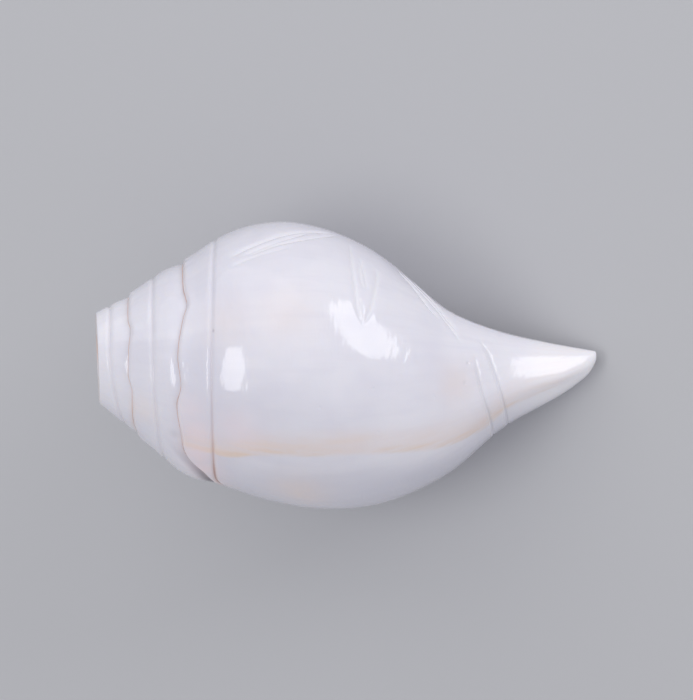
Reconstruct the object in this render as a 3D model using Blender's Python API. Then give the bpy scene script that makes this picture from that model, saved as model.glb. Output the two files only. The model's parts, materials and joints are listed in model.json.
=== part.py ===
"""A chank shell (a dextral conch) made into a blowing horn: one solid of shell, hollow right through.

The shell's own axis runs along X, from the cut top of the spire to the tip of the siphonal canal. Y is
sideways and Z is up from the shell's back. Growth is counted in turns: 0 at the outer lip, -1 one turn
earlier, and so on up the spire. The finished shell is laid down on its mouth, as it rests on a table.
"""

import math

import bmesh
import bpy
import numpy as np
from mathutils import Euler, Matrix, Vector

MM = 0.001

# Driving sizes, in millimetres and degrees.
LENGTH = 150.4            # cut top of the spire to the tip of the canal
LIP_ANGLE = -135.0        # where the outer lip stands round the axis; 0 is the back, 90 is +Y
CUT_TILT = 2.1            # the sawn top leans this much towards the back,
CUT_SKEW = 2.2            # and this much towards -Y
CUT_HEIGHT = 0.75         # where the saw crosses the axis
BLOW_HOLE_RADIUS = 6.2
BLOW_HOLE_DEPTH = 22.0
LIP_WALL = 3.6            # thickness of the outer lip,
CANAL_WALL = 1.6          # thinner along the canal
CREVICE = 0.75            # how deep a suture lies under the smooth outline,
CREVICE_HALF_WIDTH = 0.45
CREVICE_DIP = 6.0         # and how far before it the surface starts to dip
EDGE_RISE = 0.5           # how proud the edge of a whorl stands beside its suture,
EDGE_WIDTH = 9.0          # fading out over this
GROOVE_DEPTH = 0.55       # the cut line along each shoulder
GROOVE_HALF_WIDTH = 0.48
ROUNDING = 1.5            # of the lip's edges
LIP_DRAWN_IN = 0.018      # share by which the lip's edge turns in,
LIP_TURN_IN = 0.125       # over this last part of a turn
UNDERSIDE = -0.625        # turns; from one turn before the lip to here the side is hidden underneath
HOLLOW_SHRINK = 0.75      # size of one turn of the hollow against the next
HOLLOW_APEX = -30.0       # the point on the axis that the hollow winds up to
HOLLOW_TURNS = 2.6        # wound behind the lip
HOLLOW_START = 54.0       # back corner of the hollow at the lip
NECK_SWELL = 3.2          # how far the back stands out beyond round where it narrows to the canal,
NECK = 108.0              # round this place,
NECK_LENGTH = 17.0
CANAL_SWELL = 1.5         # and along one side of the canal
COLUMELLA_FOLDS = [77.0, 83.0, 89.0]
FOLD_HEIGHT = 1.6
FOLD_HALF_WIDTH = 1.9
CALLUS = 0.4              # thickness of the glaze laid over the wall behind the mouth
REST_PITCH = 21.3         # degrees that the canal dips when the shell lies on its mouth,
REST_ROLL = -6.0          # and that it leans sideways
REST_FLAT = 0.35          # how much is rubbed off where it touches the table

# Mesh density.
COLUMNS = 48              # in one turn,
BEFORE_LIP = [-0.006, -0.0022]    # and these close behind the lip, in turns
GROOVE_ROWS = 4           # from a suture to the shoulder groove
BAND_ROWS = 5             # from the groove to the next suture
BODY_ROWS = 24            # from there to the tip
HOLLOW_BACK = [54, 60, 66, 71, 74, 77, 80, 83, 86, 89, 92, 97, 105, 116, 130, 144, 156]
HOLLOW_FRONT = [54, 60, 68, 78, 90, 103, 116, 130, 144, 156]
SPIRE_TURNS = 2.5         # wound above the body whorl before the top is sawn off

# Outlines, as (distance along the axis, distance from it).
SIDE_LEFT = [(-20, 2), (0, 13.2), (10, 18.9), (20, 25.7), (27, 29.3), (35, 34.7), (43, 38.5), (50, 40.1),
             (57, 40.6), (65, 39.6), (74, 36.7), (83, 32.3), (91, 26.5), (98, 20.5), (104, 15.5),
             (110, 11.8), (118, 8.8), (128, 6.0), (139, 3.8), (150.4, 1.7)]
SIDE_RIGHT = [(-20, 2), (0, 12.9), (10, 21.2), (20, 29.8), (26, 34.6), (36, 37.9), (44, 40.6),
              (53, 43.2), (62, 45.0), (72, 45.6), (82, 44.8), (91, 42.3), (100, 38.3), (109, 32.7),
              (116, 26.6), (122, 21.6), (129, 17.2), (137, 12.9), (142, 9.9), (146, 6.9), (148.4, 4.6),
              (150.4, 1.2)]
INNER_LIP = [(40, 38.9), (46, 40.6), (52, 39.6), (58, 37.0), (64, 33.3), (70, 28.6), (76, 23.0), (82, 17.0),
             (88, 12.2), (95, 9.0), (105, 6.9), (118, 5.0), (130, 3.7), (142, 2.5), (150.4, 1.2), (160, 0.8)]

# Lines that wind round the shell, as (turns, distance along the axis).
LIP_CORNER = 46.0
SUTURE = [(-3.5, -22), (-3.0, -12), (-2.625, -5.5), (-2.375, -3.4), (-2.125, 0.2), (-2.0, 3.6),
          (-1.875, 6.8), (-1.75, 9.0), (-1.625, 10.0), (-1.476, 10.2), (-1.44, 11.0), (-1.4, 10.5),
          (-1.335, 10.3), (-1.29, 11.5), (-1.234, 11.5), (-1.125, 13.2), (-1.0, 17.4), (-0.875, 22.2),
          (-0.75, 25.2), (-0.625, 26.3), (-0.5, 26.8), (-0.461, 27.9), (-0.44, 26.9), (-0.375, 25.3),
          (-0.33, 26.2), (-0.299, 24.9), (-0.243, 25.1), (-0.19, 27.4), (-0.125, 35.2), (-0.06, 41.5),
          (0.0, LIP_CORNER), (0.25, 54.0), (0.5, 60.0), (1.0, 70.0)]
GROOVE = [(-3.5, -14), (-3.0, -3.5), (-2.75, 1.9), (-2.625, 4.3), (-2.375, 4.8), (-2.25, 6.6), (-2.125, 9.0),
          (-2.0, 11.7), (-1.875, 14.7), (-1.75, 16.8), (-1.625, 17.5), (-1.5, 17.4), (-1.375, 17.8),
          (-1.25, 19.0), (-1.125, 21.0), (-1.0, 25.4), (-0.875, 30.8), (-0.75, 34.4), (-0.625, 36.0),
          (-0.5, 35.5), (-0.375, 35.3), (-0.25, 35.7), (-0.125, 37.0), (-0.06, 43.4), (-0.015, 47.0),
          (0.0, LIP_CORNER)]


def curve_through(points):
    """A smooth curve through (position, value) points: a natural cubic spline."""
    x, y = np.array(points, float).T
    gap, rise = np.diff(x), np.diff(y) / np.diff(x)
    system = np.eye(len(x))
    bend = np.zeros(len(x))
    for i in range(1, len(x) - 1):
        system[i, i - 1:i + 2] = gap[i - 1], 2 * (gap[i - 1] + gap[i]), gap[i]
        bend[i] = 6 * (rise[i] - rise[i - 1])
    curl = np.linalg.solve(system, bend)

    def value(at):
        at = np.asarray(at, float)
        i = np.clip(np.searchsorted(x, at) - 1, 0, len(x) - 2)
        s = np.clip(at, x[0] - 5, x[-1] + 5) - x[i]
        slope = rise[i] - gap[i] * (2 * curl[i] + curl[i + 1]) / 6
        return y[i] + s * (slope + s * (curl[i] / 2 + s * (curl[i + 1] - curl[i]) / (6 * gap[i])))

    return value


def steady_curve(points):
    """A curve through (position, value) points that never overshoots them."""
    x, y = np.array(points, float).T
    gap, rise = np.diff(x), np.diff(y) / np.diff(x)
    slope = np.concatenate([rise[:1], rise[:-1] + rise[1:], rise[-1:]])
    slope[1:-1] /= 2
    limit = 3 * np.minimum(np.abs(rise[:-1]), np.abs(rise[1:]))
    slope[1:-1] = np.where(rise[:-1] * rise[1:] > 0, np.clip(slope[1:-1], -limit, limit), 0)

    def value(at):
        at = np.clip(np.asarray(at, float), x[0], x[-1])
        i = np.clip(np.searchsorted(x, at) - 1, 0, len(x) - 2)
        s = (at - x[i]) / gap[i]
        left = y[i] + s * s * (3 - 2 * s) * (y[i + 1] - y[i])
        return left + gap[i] * s * (1 - s) * ((1 - s) * slope[i] - s * slope[i + 1])

    return value


def ramp(low, high, at):
    """0 below low, 1 above high, and smooth between."""
    s = np.clip((np.asarray(at, float) - low) / (high - low), 0, 1)
    return s * s * (3 - 2 * s)


left_outline = curve_through(SIDE_LEFT)
right_outline = curve_through(SIDE_RIGHT)
inner_lip_outline = curve_through(INNER_LIP)
suture = steady_curve(SUTURE)
groove = steady_curve(GROOVE)


def angle_at(turn):
    """Degrees round the axis at a count of turns. The shell winds from +Y over its back to -Y."""
    return LIP_ANGLE - 360 * np.asarray(turn, float)


def swell(a, angle):
    """How far the back stands out beyond round, fading out before both sides."""
    angle = (angle + 180) % 360 - 180
    neck = NECK_SWELL * np.exp(-((a - NECK) / NECK_LENGTH)**2 - ((angle + 15) / 90)**2)
    canal = CANAL_SWELL * np.exp(-((angle + 34) / 15)**2) * ramp(106, 118, a) * ramp(LENGTH, 139, a)
    return (neck + canal) * ramp(88, 45, np.abs(angle))


def round_section(a, angle):
    """A circle off the axis whose ends touch both side outlines, with its back swelled."""
    shift = (left_outline(a) - right_outline(a)) / 2
    radius = (left_outline(a) + right_outline(a)) / 2
    way = np.radians(angle)
    circle = shift * np.sin(way) + np.sqrt(np.maximum(radius**2 - (shift * np.cos(way))**2, 0.01))
    return circle + swell(a, angle)


def wall_before_lip(a):
    """Distance from the axis to the whorl that the lip closes on, one turn before the lip."""
    joined = ramp(LIP_CORNER, LIP_CORNER + 8, a)
    return round_section(a, LIP_ANGLE) * (1 - joined) + inner_lip_outline(a) * joined


def smooth_outside(a, turn):
    """Distance from the axis to the smooth outside, with no sutures or grooves, for turns -1 to 0."""
    turn = turn - np.floor(turn) - 1 + (turn == 0)
    plain = round_section(a, angle_at(turn))
    past_side = np.clip((UNDERSIDE - turn) / (UNDERSIDE + 1), 0, 1)**1.6
    under = left_outline(a) + (wall_before_lip(a) - left_outline(a)) * past_side
    to_lip = np.clip(1 + turn / LIP_TURN_IN, 0, 1)
    lip = right_outline(a) * (1 - LIP_DRAWN_IN * to_lip**1.5 * ramp(LENGTH, LENGTH - 20, a))
    near_lip = plain + (lip - plain) * ramp(LIP_CORNER, LIP_CORNER + 16, a)
    return np.where(turn < UNDERSIDE, under, np.where(turn > -LIP_TURN_IN, near_lip, plain))


def outside(a, turn):
    """Distance from the axis to the outside at a place of the whorl that grew at that count of turns."""
    base = smooth_outside(a, turn)
    from_suture = np.maximum(a - suture(turn), 0)
    to_next = np.maximum(np.where(turn < -1, suture(turn + 1), 1e3) - a, 0)
    settled = ramp(0, 0.05, -turn)
    settled_next = ramp(0, 0.05, -1 - turn)
    edge = EDGE_RISE * np.clip(1 - from_suture / EDGE_WIDTH, 0, 1)**2
    crack = (CREVICE + EDGE_RISE) * np.exp(-(from_suture / CREVICE_HALF_WIDTH)**2)
    dip = CREVICE * np.clip(1 - to_next / CREVICE_DIP, 0, 1)**2
    line = np.exp(-((a - groove(turn)) / GROOVE_HALF_WIDTH)**2) * ramp(0.03, 0.1, -turn)
    above_saw = ramp(-1, 3, a)
    return base + ((edge - crack) * settled - dip * settled_next) * above_saw - GROOVE_DEPTH * line


def point(a, distance, turn):
    """Shell-frame place, in metres."""
    way = np.radians(angle_at(turn))
    return np.stack([a, distance * np.sin(way), distance * np.cos(way)], -1) * MM


def wrapped_grid(mesh, columns, rows, place):
    """Adds a flat grid of columns by rows cells to mesh and moves its corners to place(across, along)."""
    made = bmesh.ops.create_grid(mesh, x_segments=columns, y_segments=rows, size=0.5)["verts"]
    flat = np.array([corner.co for corner in made]) + 0.5
    for corner, spot in zip(made, place(flat[:, 0], flat[:, 1])):
        corner.co = spot


def row_line(turn, row):
    """Distance along the axis of a line of the mesh: row counts from the whorl's suture down."""
    top, line = suture(turn), groove(turn)
    end = suture(turn + 1)
    end = end - (end - LIP_CORNER) * ramp(-0.12, 0, turn)**2
    to_groove = np.interp(row, [0, 1, 2, GROOVE_ROWS - 1, GROOVE_ROWS], [0, 0.06, 0.25, 0.9, 1])
    to_end = np.interp(row - GROOVE_ROWS, [0, 1, BAND_ROWS - 1, BAND_ROWS], [0, 0.09, 0.85, 1])
    to_tip = (row - GROOVE_ROWS - BAND_ROWS) / BODY_ROWS
    below_groove = np.where(row <= GROOVE_ROWS + BAND_ROWS, line + (end - line) * to_end,
                            end + (LENGTH - end) * to_tip)
    return np.where(row <= GROOVE_ROWS, top + (line - top) * to_groove, below_groove)


def fill_holes(mesh):
    """Closes every open loop of mesh with one face."""
    bmesh.ops.remove_doubles(mesh, verts=mesh.verts, dist=1e-6)
    bmesh.ops.holes_fill(mesh, edges=[edge for edge in mesh.edges if edge.is_boundary])
    bmesh.ops.recalc_face_normals(mesh, faces=mesh.faces)


def filled_shell():
    """The outside of the shell as one closed body, with no hollow and its top sawn off."""
    mesh = bmesh.new()
    band = GROOVE_ROWS + BAND_ROWS
    body_turns = np.concatenate([np.arange(-COLUMNS, 0) / COLUMNS, BEFORE_LIP, [0]])
    spire_turns = np.concatenate([body_turns[:-1] - back for back in (3, 2, 1)] + [[-1.0]])
    spire_turns = spire_turns[spire_turns >= -1 - SPIRE_TURNS]

    def spire(across, along):
        turn = spire_turns[np.rint(across * (len(spire_turns) - 1)).astype(int)]
        a = row_line(turn, np.rint(along * band))
        return point(a, np.maximum(outside(a, turn), 0.5), turn)

    def body(across, along):
        turn = body_turns[np.rint(across * (len(body_turns) - 1)).astype(int)]
        a = row_line(turn, np.rint(along * (band + BODY_ROWS)))
        distance = outside(a, turn)
        rounded = np.minimum(ROUNDING, 0.45 * np.maximum(distance - wall_before_lip(a), 0))
        left = np.clip(-turn * math.tau * distance, 0, None)
        past = np.clip(rounded - left, 0, None)
        return point(a, distance - rounded + np.sqrt(np.maximum(rounded**2 - past**2, 0)), turn)

    wrapped_grid(mesh, len(spire_turns) - 1, band, spire)
    wrapped_grid(mesh, len(body_turns) - 1, band + BODY_ROWS, body)
    fill_holes(mesh)
    tilt, skew = math.radians(CUT_TILT), math.radians(CUT_SKEW)
    normal = Vector((-math.cos(tilt), -math.sin(skew), math.sin(tilt)))
    bmesh.ops.bisect_plane(mesh, geom=[*mesh.verts, *mesh.edges, *mesh.faces], dist=1e-6,
                           plane_co=(CUT_HEIGHT * MM, 0, 0), plane_no=normal, clear_outer=True)
    fill_holes(mesh)
    rub_flat(mesh)
    return mesh


def rest_turn():
    """Turns the shell from its own frame to how it lies."""
    return Euler((math.radians(REST_ROLL), math.radians(REST_PITCH), 0), "YXZ")


def rub_flat(mesh):
    """Rubs flat what the shell lies on, so that it doesn't roll on its round whorl."""
    up = Vector((0, 0, 1)) @ rest_turn().to_matrix()
    lowest = min(up.dot(corner.co) for corner in mesh.verts) + REST_FLAT * MM
    for corner in mesh.verts:
        corner.co += up * max(lowest - up.dot(corner.co), 0)


def hollow_wall(a):
    """Thickness of shell outside the hollow."""
    return LIP_WALL + (CANAL_WALL - LIP_WALL) * ramp(85, 140, a)


def hollow_section(turn, branch, at):
    """Place of the hollow's wall in the half-plane at a turn; at is measured as at the lip.

    branch is 1 on the side of the outer wall and 0 on the side of the axis.
    """
    behind = np.minimum(turn, 0)
    scale = HOLLOW_SHRINK**-behind
    front = COLUMELLA_FOLDS[-1] + 3
    kept = 1 - 0.87 * ramp(-0.08, -0.5, turn)
    at = np.where(at > front, front + (at - front) * kept, at)
    end = front + (HOLLOW_FRONT[-1] - front) * kept
    a = HOLLOW_APEX + (at - HOLLOW_APEX) * scale

    folds = sum(np.exp(-((at - fold) / FOLD_HALF_WIDTH)**2) for fold in COLUMELLA_FOLDS) * FOLD_HEIGHT
    folds = folds * ramp(-0.75, -0.3, turn) * ramp(0.12, 0.0, turn)
    callus = CALLUS - 1.0 * ramp(HOLLOW_START + 8, HOLLOW_START, at)
    back = (wall_before_lip(np.minimum(at, LENGTH)) - callus + folds) * scale
    solid = np.minimum(a, LENGTH)
    ahead = smooth_outside(solid, np.maximum(turn, 1e-6) - 1) - callus + folds + 3 * ramp(0.0, 0.14, turn)
    back = np.where(turn > 0, ahead, back)
    back = back + (1.0 - back) * ramp(-1.85, -2.35, turn)

    lip_side = (right_outline(np.minimum(at, LENGTH)) - hollow_wall(at)) * scale
    outer_limit = smooth_outside(solid, np.clip(turn, -1, -1e-6)) - hollow_wall(a)
    front_wall = np.where(turn < -1, lip_side, np.minimum(lip_side, outer_limit))
    front_wall = front_wall + ROUNDING * 0.8 * ramp(-0.012, 0.0, turn)**2
    front_wall = np.where(turn > 0, right_outline(solid) + 8, front_wall)
    front_wall = np.maximum(front_wall, back + 1.3)

    close = np.minimum(np.clip((at - HOLLOW_START) / 7, 0, 1), np.clip((end - at) / (8 * kept), 0, 1))
    close = np.sqrt(1 - (1 - close)**2) * 0.9 + 0.1 * (close > 0)
    close = np.where(turn > 0, 1, close)
    middle = (back + front_wall) / 2
    return a, middle + (np.where(branch > 0, front_wall, back) - middle) * np.maximum(close, 0.02)


def hollow_cutter():
    """The space inside the whorls, from the bored top of the spire out through the mouth."""
    mesh = bmesh.new()
    around = HOLLOW_FRONT + HOLLOW_BACK[::-1]
    branches = [1] * len(HOLLOW_FRONT) + [0] * len(HOLLOW_BACK)
    turns = [*np.arange(-HOLLOW_TURNS, -1.3, 1 / 18), *np.arange(-1.3, -0.03, 1 / 32), -0.02, -0.01,
             -0.005, 0.0005, 0.004, 0.015, 0.035, 0.06, 0.09, 0.13, 0.17, 0.2]

    def place(across, along):
        turn = np.array(turns)[np.rint(across * (len(turns) - 1)).astype(int)]
        index = np.rint(along * len(around)).astype(int) % len(around)
        a, distance = hollow_section(turn, np.array(branches)[index], np.array(around, float)[index])
        return point(a, distance, turn)

    wrapped_grid(mesh, len(turns) - 1, len(around), place)
    fill_holes(mesh)
    return mesh


def add_object(name, mesh, collection):
    """Puts a finished mesh into the scene and frees it."""
    data = bpy.data.meshes.new(name)
    mesh.to_mesh(data)
    mesh.free()
    made = bpy.data.objects.new(name, data)
    collection.objects.link(made)
    return made


def take_out(made, cutter):
    """Takes cutter out of an object."""
    cutter.hide_render = True
    cutter.display_type = "WIRE"
    difference = made.modifiers.new(cutter.name, "BOOLEAN")
    difference.operation = "DIFFERENCE"
    difference.solver = "EXACT"
    difference.object = cutter


def porcelain():
    """Polished white shell."""
    material = bpy.data.materials.new("polished_shell")
    material.use_nodes = True
    shader = material.node_tree.nodes["Principled BSDF"]
    shader.inputs["Base Color"].default_value = (0.72, 0.69, 0.70, 1)
    shader.inputs["Roughness"].default_value = 0.22
    shader.inputs["Metallic"].default_value = 0
    return material


def new_collection(name):
    collection = bpy.data.collections.new(name)
    bpy.context.scene.collection.children.link(collection)
    return collection


def main():
    for thing in list(bpy.data.objects):
        bpy.data.objects.remove(thing, do_unlink=True)
    parts, cutters = new_collection("conch_shell"), new_collection("cutters")

    laid_down = bpy.data.objects.new("laid_down", None)
    parts.objects.link(laid_down)
    laid_down.rotation_mode = rest_turn().order
    laid_down.rotation_euler = rest_turn()

    shell = add_object("shell", filled_shell(), parts)
    hollow = add_object("hollow", hollow_cutter(), cutters)
    bore = bmesh.new()
    bmesh.ops.create_cone(bore, cap_ends=True, segments=24, radius1=BLOW_HOLE_RADIUS * MM,
                          radius2=BLOW_HOLE_RADIUS * MM, depth=2 * BLOW_HOLE_DEPTH * MM,
                          matrix=Matrix.Rotation(math.pi / 2, 4, "Y"))
    blow_hole = add_object("blow_hole", bore, cutters)
    for made in (shell, hollow, blow_hole):
        made.parent = laid_down
    take_out(shell, hollow)
    take_out(shell, blow_hole)
    shell.data.materials.append(porcelain())

    bpy.context.view_layer.update()
    finished = shell.evaluated_get(bpy.context.evaluated_depsgraph_get())
    corners = np.array([finished.matrix_world @ corner.co for corner in finished.data.vertices])
    low, high = corners.min(0), corners.max(0)
    laid_down.location = -(low[0] + high[0]) / 2, -(low[1] + high[1]) / 2, -low[2]


main()
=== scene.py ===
"""A chank shell made into a blowing horn: polished white, carved on its back, lying on its mouth.

The shell is wound in its own frame, in millimetres: "along" runs on the axis from the sawn top of the
spire to the tip of the canal, and growth is counted in turns, 0 at the outer lip and -1 one turn earlier.
The finished mesh is then laid down the way the solid lies.
"""

import json
import math

import bpy
import numpy as np
from mathutils import Euler, Matrix, Vector


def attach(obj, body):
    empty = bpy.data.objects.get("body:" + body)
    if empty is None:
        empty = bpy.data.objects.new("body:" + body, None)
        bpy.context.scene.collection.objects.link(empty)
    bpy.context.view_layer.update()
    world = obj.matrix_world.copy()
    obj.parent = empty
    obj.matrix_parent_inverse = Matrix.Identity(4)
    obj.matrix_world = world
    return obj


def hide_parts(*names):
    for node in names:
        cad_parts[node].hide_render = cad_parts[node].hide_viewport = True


bl_info = {
    "name": "Chank Blowing Shell",
    "version": (1, 0, 0),
    "blender": (4, 5, 0),
    "location": "View3D > Sidebar > Chank",
    "description": "Winds, hollows, carves and polishes a chank shell",
    "category": "Add Mesh",
}

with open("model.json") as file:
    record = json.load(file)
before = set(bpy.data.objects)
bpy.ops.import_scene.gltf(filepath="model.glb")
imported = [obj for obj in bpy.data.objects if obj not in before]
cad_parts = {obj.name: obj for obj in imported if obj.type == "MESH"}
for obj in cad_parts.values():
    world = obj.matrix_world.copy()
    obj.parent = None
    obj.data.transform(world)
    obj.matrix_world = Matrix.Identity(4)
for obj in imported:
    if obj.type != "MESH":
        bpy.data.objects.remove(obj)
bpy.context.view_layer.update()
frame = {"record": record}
MM = 0.001

# How the shell lies, and where the saw crossed it.
REST_PITCH = 21.3
REST_ROLL = -6
CUT_TILT = 2.1
CUT_SKEW = 2.2
CUT_HEIGHT = 0.75
SAW_NORMAL = Vector((-math.cos(math.radians(CUT_TILT)), -math.sin(math.radians(CUT_SKEW)),
                     math.sin(math.radians(CUT_TILT)))).normalized()
SAW_CENTRE = Vector((CUT_HEIGHT, 0, 0)) * MM
RING_RADIUS = 9.5

# Driving sizes of the shell.
LENGTH = 150.4
LIP_ANGLE = -135
LIP_CORNER = 46
LIP_DRAWN_IN = 0.0235
UNDER_LIP_FROM = -0.625
NEAR_LIP_FROM = -0.125
BLOW_HOLE_RADIUS = 6.2
BLOW_HOLE_DEPTH = 22
BLOW_HOLE_SIDES = 96
RIM_EASING = 0.7
HOLLOW_SHRINK = 0.75
HOLLOW_APEX = -30
HOLLOW_TURNS = 2.6
HOLLOW_START = 54
HOLLOW_END = 156
COLUMELLA_FOLDS = [77, 83, 89]
FOLD_WIDTH = 1.9
CANAL_CLOSED = 0.87
CALLUS = 0.4
INNER_LIP_ROUNDING = 1.3
LEAST_OPENING = 1.3
SPIRE_TURNS = 2.5

# Where the back stands out beyond round, or falls short of it: how far, then where along the shell, as
# middle and reach or as start, full height and last, then middle and reach in degrees.
NECK_SWELL = (3.2, 108, 17, -15, 90)
CANAL_SWELL = (1.5, 106, 118, 139, -34, 15)
SHOULDER_WAIST = (0.5, 28.5, 5)
SWELL_SIDES = (88, 45)

# Detail of the outside: how far an edge and a dip reach from their suture, where a dip is shallower as
# (share, turn, reach), how many turns before the lip the groove ends, and fine unevenness as (height,
# size, seed).
EDGE_REACH = 7
CRACK_WIDTH = 0.4
DIP_REACH = 6
SHALLOW_DIP = (0.7, -1.13, 0.06)
GROOVE_END = (0.03, 0.1)
ROLL = 0.28
ROLL_REACH = 4.5
POLISH = [(0.07, 17, 3), (0.02, 7, 5)]
CHIPS = (0.1, 4.5, 8)
TIP_ROUNDING = 0.7
SAWN_EDGE = 0.35
ON_SKIN = 0.06
NEAR_STROKE = 1.7
FULL_CUT = 0.4
SOFTENED_LIP = 1.6
FLOOR_GAP = 0.02
FAR = 12

# Outlines, as (along, distance from the axis).
SIDE_LEFT = [(-20, 2), (0, 13.2), (10, 18.9), (20, 25.7), (27, 29.3), (35, 34.7), (43, 38.5), (50, 40.1),
             (57, 40.6), (65, 39.6), (74, 36.7), (83, 32.3), (91, 26.5), (98, 20.5), (104, 15.5),
             (110, 11.8), (118, 8.8), (128, 6), (139, 3.8), (150.4, 1.7)]
SIDE_RIGHT = [(-20, 2), (0, 12.9), (10, 21.2), (20, 29.8), (26, 34.6), (36, 37.9), (44, 40.6),
              (53, 43.2), (62, 45), (72, 45.6), (82, 44.8), (91, 42.3), (100, 38.3), (109, 32.7),
              (116, 26.6), (122, 21.6), (129, 17.2), (137, 12.9), (142, 9.9), (146, 6.9), (148.4, 4.6),
              (150.4, 1.2)]
INNER_LIP = [(40, 38.9), (46, 40.6), (52, 39.6), (58, 37), (64, 33.3), (70, 28.6), (76, 23), (82, 17),
             (88, 12.2), (95, 9), (105, 6.9), (118, 5), (130, 3.7), (142, 2.5), (150.4, 1.2), (160, 0.8)]

# Lines that wind round the shell, as (turns, along).
SUTURE = [(-3.5, -22), (-3, -12), (-2.625, -5.5), (-2.375, -3.4), (-2.125, 0.2), (-2, 3.6),
          (-1.875, 6.8), (-1.75, 9), (-1.625, 10), (-1.476, 10.2), (-1.44, 11), (-1.4, 10.5),
          (-1.335, 10.3), (-1.29, 11.5), (-1.234, 11.5), (-1.125, 13.2), (-1, 17.4), (-0.875, 22.2),
          (-0.75, 25.2), (-0.625, 26.3), (-0.5, 26.8), (-0.461, 27.9), (-0.44, 26.9), (-0.375, 25.3),
          (-0.33, 26.2), (-0.299, 25), (-0.25, 26.2), (-0.21, 27.6), (-0.185, 32), (-0.165, 34.2),
          (-0.125, 37), (-0.06, 42), (0, LIP_CORNER), (0.25, 54), (0.5, 60), (1, 70)]
GROOVE = [(-3.5, -14), (-3, -3.5), (-2.75, 1.9), (-2.625, 4.3), (-2.375, 4.8), (-2.25, 6.6), (-2.125, 9),
          (-2, 11.7), (-1.875, 14.7), (-1.75, 16.8), (-1.625, 17.5), (-1.5, 17.4), (-1.375, 17.8),
          (-1.25, 19), (-1.125, 21), (-1, 25.4), (-0.875, 30.8), (-0.75, 34.4), (-0.625, 36),
          (-0.5, 35.5), (-0.375, 35.3), (-0.25, 35.7), (-0.19, 36), (-0.16, 36.7), (-0.125, 39),
          (-0.06, 44.2), (-0.015, 47.3), (0, 48)]

# Strokes cut into the back: half-width, depth, and points as (along, degrees round the axis). A degree is
# about as long as DEGREE there.
DEGREE = 0.6
STROKE_POINTS = 60
STROKES = [
    # a long leaf over the shoulder
    (0.72, 0.55, [(39.7, 48.8), (42.6, 53), (47.4, 56.5), (55.2, 62.5), (62.4, 68.5), (72.5, 78)]),
    (0.59, 0.43, [(43.5, 49.5), (50, 53.8), (55.2, 57.8), (60.3, 62.9), (64.5, 69)]),
    (0.65, 0.46, [(44.4, 48.5), (54.1, 54.8), (60.3, 58.8), (65.5, 63.8), (72.7, 77)]),
    (0.72, 0.23, [(40.4, 44.7), (48.4, 48.4), (55.2, 51.5), (59.5, 54.5)]),
    # a pointed leaf with a small one inside it
    (0.59, 0.43, [(76.6, 70.5), (77.1, 47.8), (77.9, 34.3), (78.7, 23), (80.2, 13.8)]),
    (0.65, 0.38, [(84.4, 54.3), (84.3, 40.5), (83.3, 29.5), (82, 20.2), (80.2, 13.8)]),
    (0.52, 0.32, [(79.4, 57.8), (80.5, 46.6), (81.1, 39.5), (81.2, 32.8)]),
    (0.52, 0.26, [(79.2, 54), (79.4, 44.2), (80, 37.7), (81.2, 32.8)]),
    (0.45, 0.2, [(79.4, 28.9), (79.8, 22.2), (80.2, 13.8)]),
    # three lines down towards the canal
    (0.5, 0.72, [(90.5, 74), (95.5, 58.4), (97.8, 48.2), (100.1, 39.8), (103.4, 29.8)]),
    (0.46, 0.6, [(91.5, 78.2), (99.1, 55), (103.2, 39.4), (105.9, 28.1), (107.8, 20), (109.8, 10)]),
    (0.46, 0.6, [(94.5, 81.2), (98, 69.7), (101.1, 55.7), (104.8, 37.7), (108.9, 21.3)]),
    # two rings round the foot of the canal
    (0.52, 0.52, [(113.7, 4.5), (114.3, -9.7), (116, -26.7), (117.7, -42.2), (119.4, -82.9),
                  (120.5, -120)]),
    (0.52, 0.56, [(113.9, 22.9), (116.7, 9.5), (119.1, -10.6), (121.2, -27.8), (122.9, -51.3),
                  (123.8, -82.8), (124.5, -120)]),
]
# Pits, as (along, degrees, size).
PITS = [(35.6, 12.6, 0.45), (67.5, -20.3, 0.4), (83.4, -13.7, 0.35), (111.6, -4.6, 0.45),
        (110.7, -17.8, 0.45), (84.9, -32.8, 0.3), (101.7, -21.8, 0.3)]
PIT_DEPTH = 0.44

# Stains along the sutures and the groove, as (turns, strength).
SEAM_STAIN = [(-3.5, 0.1), (-1.7, 0.1), (-1.58, 0.3), (-1.45, 0.3), (-1.38, 0.15), (-1.31, 0.2),
              (-1.25, 0.6), (-1.18, 1), (-1.1, 0.8), (-1, 0.4), (-0.7, 0.3), (-0.58, 0.5),
              (-0.47, 0.45), (-0.42, 0.3), (-0.36, 0.2), (-0.31, 0.3), (-0.24, 0.2), (-0.19, 0.4),
              (-0.1, 0.4), (0, 0.2), (0.5, 0)]
GROOVE_STAIN = [(-3.5, 0.05), (-0.7, 0.05), (-0.45, 0), (-0.35, 0.1), (-0.27, 0.25), (-0.24, 0.4),
                (-0.19, 0.9), (-0.12, 1), (0, 0.2)]

# Painted shadow in the crevice beside the last suture, where the later whorl overhangs, laid on the whorl
# before it, as (turns, strength).
SEAM_PAINTED_SHADE = [(-0.25, 0), (-0.225, 0.08), (-0.2, 0.35), (-0.17, 0.75), (-0.145, 1), (-0.11, 0.9),
             (-0.06, 0.3), (0, 0)]

# The edge where growth rested: (along, turns), and the strength of the band before it.
REST_EDGE = [(10, -0.224), (26.5, -0.225), (30, -0.227), (35, -0.229), (38, -0.23),
             (41.5, -0.2345), (47.5, -0.2467), (56, -0.2527), (70, -0.2555), (75, -0.2557),
             (84, -0.2532), (92, -0.2462), (100.5, -0.2362), (110, -0.2256), (118.5, -0.213),
             (124, -0.2232), (135, -0.218), (144, -0.242)]
REST_STRENGTH = [(10, 0.2), (20, 0.4), (25, 0.7), (33, 0.95), (43.5, 1.35), (55, 1.1), (75, 1.25),
                 (88, 0.85), (100, 1.1), (112, 1), (118.5, 1.15), (127, 0.55), (135, 0.4),
                 (145, 0.1), (150, 0)]
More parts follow.
